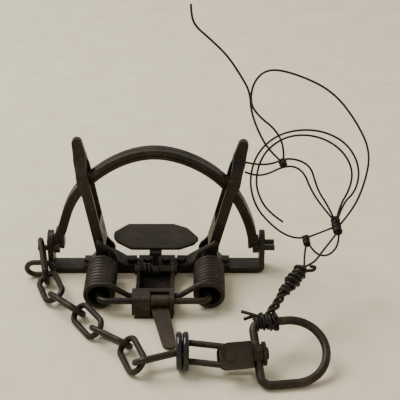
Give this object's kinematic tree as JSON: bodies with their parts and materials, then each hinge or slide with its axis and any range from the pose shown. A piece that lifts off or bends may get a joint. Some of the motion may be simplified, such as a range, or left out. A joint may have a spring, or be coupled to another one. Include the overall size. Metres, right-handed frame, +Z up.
{
  "type": "foothold trap",
  "caption": "Spring-driven foothold trap, closed, with slotted levers, curved jaws, trigger pan, chain, swivel, D-ring and twisted tie wire.",
  "frame": {"origin": "on the floor under the middle of the flat bar", "axes": "+X along the flat bar towards the right spring, +Y away from the chain, +Z up"},
  "size_m": [0.1974, 0.1389, 0.1814],
  "materials": {
    "dark_steel": "aged dark brown steel",
    "rusted_steel": "brown rusted steel",
    "pan_steel": "olive brown worn steel",
    "black_wire": "black annealed wire",
    "black_band": "shiny black coated wire"
  },
  "bodies": {
    "frame": {"base_frame": "dark_steel", "cross_channel": "dark_steel", "rod_clamp": "rusted_steel", "left_strap": "dark_steel", "right_strap": "dark_steel", "frame_rivets": "dark_steel", "axle_rod": "dark_steel", "left_spring": "dark_steel", "right_spring": "dark_steel", "pan_pin": "dark_steel", "pan_coil": "dark_steel"},
    "left_lever_body": {"left_lever": "dark_steel", "left_spring_arm": "dark_steel"},
    "right_lever_body": {"right_lever": "dark_steel", "right_spring_arm": "dark_steel"},
    "front_jaw_body": {"front_jaw": "dark_steel"},
    "rear_jaw_body": {"rear_jaw": "dark_steel"},
    "pan_body": {"pan_plate": "pan_steel", "pan_stem": "dark_steel"},
    "dog_body": {"trigger_dog": "rusted_steel"},
    "link_1_body": {"link_1": "dark_steel"},
    "end_ring_body": {"end_ring": "rusted_steel"},
    "link_2_body": {"link_2": "dark_steel"},
    "link_3_body": {"link_3": "dark_steel"},
    "link_4_body": {"link_4": "dark_steel"},
    "link_5_body": {"link_5": "dark_steel"},
    "link_6_body": {"link_6": "dark_steel"},
    "long_link_1_body": {"long_link_1": "dark_steel", "link_binding": "black_band"},
    "long_link_2_body": {"long_link_2": "dark_steel"},
    "yoke_body": {"swivel_yoke": "rusted_steel", "yoke_pin": "rusted_steel", "swivel_rivet": "rusted_steel", "swivel_washer": "rusted_steel"},
    "ring_body": {"d_ring": "rusted_steel", "wire_wrap": "black_wire", "wire_twist": "black_wire", "wire_knot_main": "black_wire", "wire_knot_right": "black_wire", "wire_knot_left": "black_wire", "wire_knot_mid": "black_wire", "wire_tail": "black_wire", "wire_big_loop": "black_wire", "wire_ring_outer": "black_wire", "wire_ring_inner": "black_wire", "wire_wavy_a": "black_wire", "wire_wavy_b": "black_wire", "wire_drop": "black_wire", "wire_low_loop": "black_wire", "wire_hook": "black_wire"}
  },
  "joints": [
    {"name": "left_lever_press", "type": "hinge", "parent": "frame", "child": "left_lever_body", "pos_m": [-0.0315, 0, 0.0092], "axis": [0, -1, 0], "range_deg": [0, 52], "stiffness_Nm_per_rad": 0.5, "springref_deg": -57.3},
    {"name": "right_lever_press", "type": "hinge", "parent": "frame", "child": "right_lever_body", "pos_m": [0.0315, 0, 0.0092], "axis": [0, 1, 0], "range_deg": [0, 44], "stiffness_Nm_per_rad": 0.5, "springref_deg": -57.3},
    {"name": "front_jaw_play", "type": "hinge", "parent": "frame", "child": "front_jaw_body", "pos_m": [0, -0.0034, 0.016], "axis": [1, 0, 0], "range_deg": [0, 3.5]},
    {"name": "rear_jaw_play", "type": "hinge", "parent": "frame", "child": "rear_jaw_body", "pos_m": [0, 0.0034, 0.016], "axis": [1, 0, 0], "range_deg": [-3.5, 0]},
    {"name": "pan_tilt", "type": "hinge", "parent": "frame", "child": "pan_body", "pos_m": [0, -0.016, 0.008], "axis": [1, 0, 0], "range_deg": [-10, 25]},
    {"name": "dog_swing", "type": "hinge", "parent": "frame", "child": "dog_body", "pos_m": [0, -0.0515, 0.0092], "axis": [1, 0, 0], "range_deg": [-130, 0]},
    {"name": "link_1_swing", "type": "hinge", "parent": "frame", "child": "link_1_body", "pos_m": [-0.0689, -0.0034, 0.016], "axis": [1, 0, 0], "range_deg": [-12, 0]},
    {"name": "end_ring_turn", "type": "hinge", "parent": "link_1_body", "child": "end_ring_body", "pos_m": [-0.06666, -0.00866, 0.00699], "axis": [0.1909, -0.8234, -0.5344], "range_deg": [-30, 0]},
    {"name": "link_2_swing", "type": "hinge", "parent": "link_1_body", "child": "link_2_body", "pos_m": [-0.0646, -0.021, 0.00566], "axis": [0, 0, 1], "range_deg": [-6, 0]},
    {"name": "link_3_swing", "type": "hinge", "parent": "link_2_body", "child": "link_3_body", "pos_m": [-0.05721, -0.0413, 0.00566], "axis": [0, 0, 1], "range_deg": [-6, 0]},
    {"name": "link_4_swing", "type": "hinge", "parent": "link_3_body", "child": "link_4_body", "pos_m": [-0.04221, -0.05683, 0.00566], "axis": [0, 0, 1], "range_deg": [-6, 0]},
    {"name": "link_5_swing", "type": "hinge", "parent": "link_4_body", "child": "link_5_body", "pos_m": [-0.03076, -0.07515, 0.00566], "axis": [0, 0, 1], "range_deg": [-6, 0]},
    {"name": "link_6_swing", "type": "hinge", "parent": "link_5_body", "child": "link_6_body", "pos_m": [-0.01374, -0.08845, 0.00566], "axis": [0, 0, 1], "range_deg": [-6, 0]},
    {"name": "long_link_1_swing", "type": "hinge", "parent": "link_6_body", "child": "long_link_1_body", "pos_m": [-0.00585, -0.10875, 0.00866], "axis": [0, 0, 1], "range_deg": [-6, 0]},
    {"name": "long_link_2_swing", "type": "hinge", "parent": "long_link_1_body", "child": "long_link_2_body", "pos_m": [0.017, -0.102, 0.0105], "axis": [0, 0, 1], "range_deg": [-6, 0]},
    {"name": "yoke_swing", "type": "hinge", "parent": "long_link_2_body", "child": "yoke_body", "pos_m": [0.0425, -0.108, 0.0114], "axis": [0, 0, 1], "range_deg": [-6, 0]},
    {"name": "ring_swivel", "type": "hinge", "parent": "yoke_body", "child": "ring_body", "pos_m": [0.0404, -0.108, 0.0114], "axis": [0.9903, 0.1392, 0], "range_deg": [0, 60]}
  ]
}
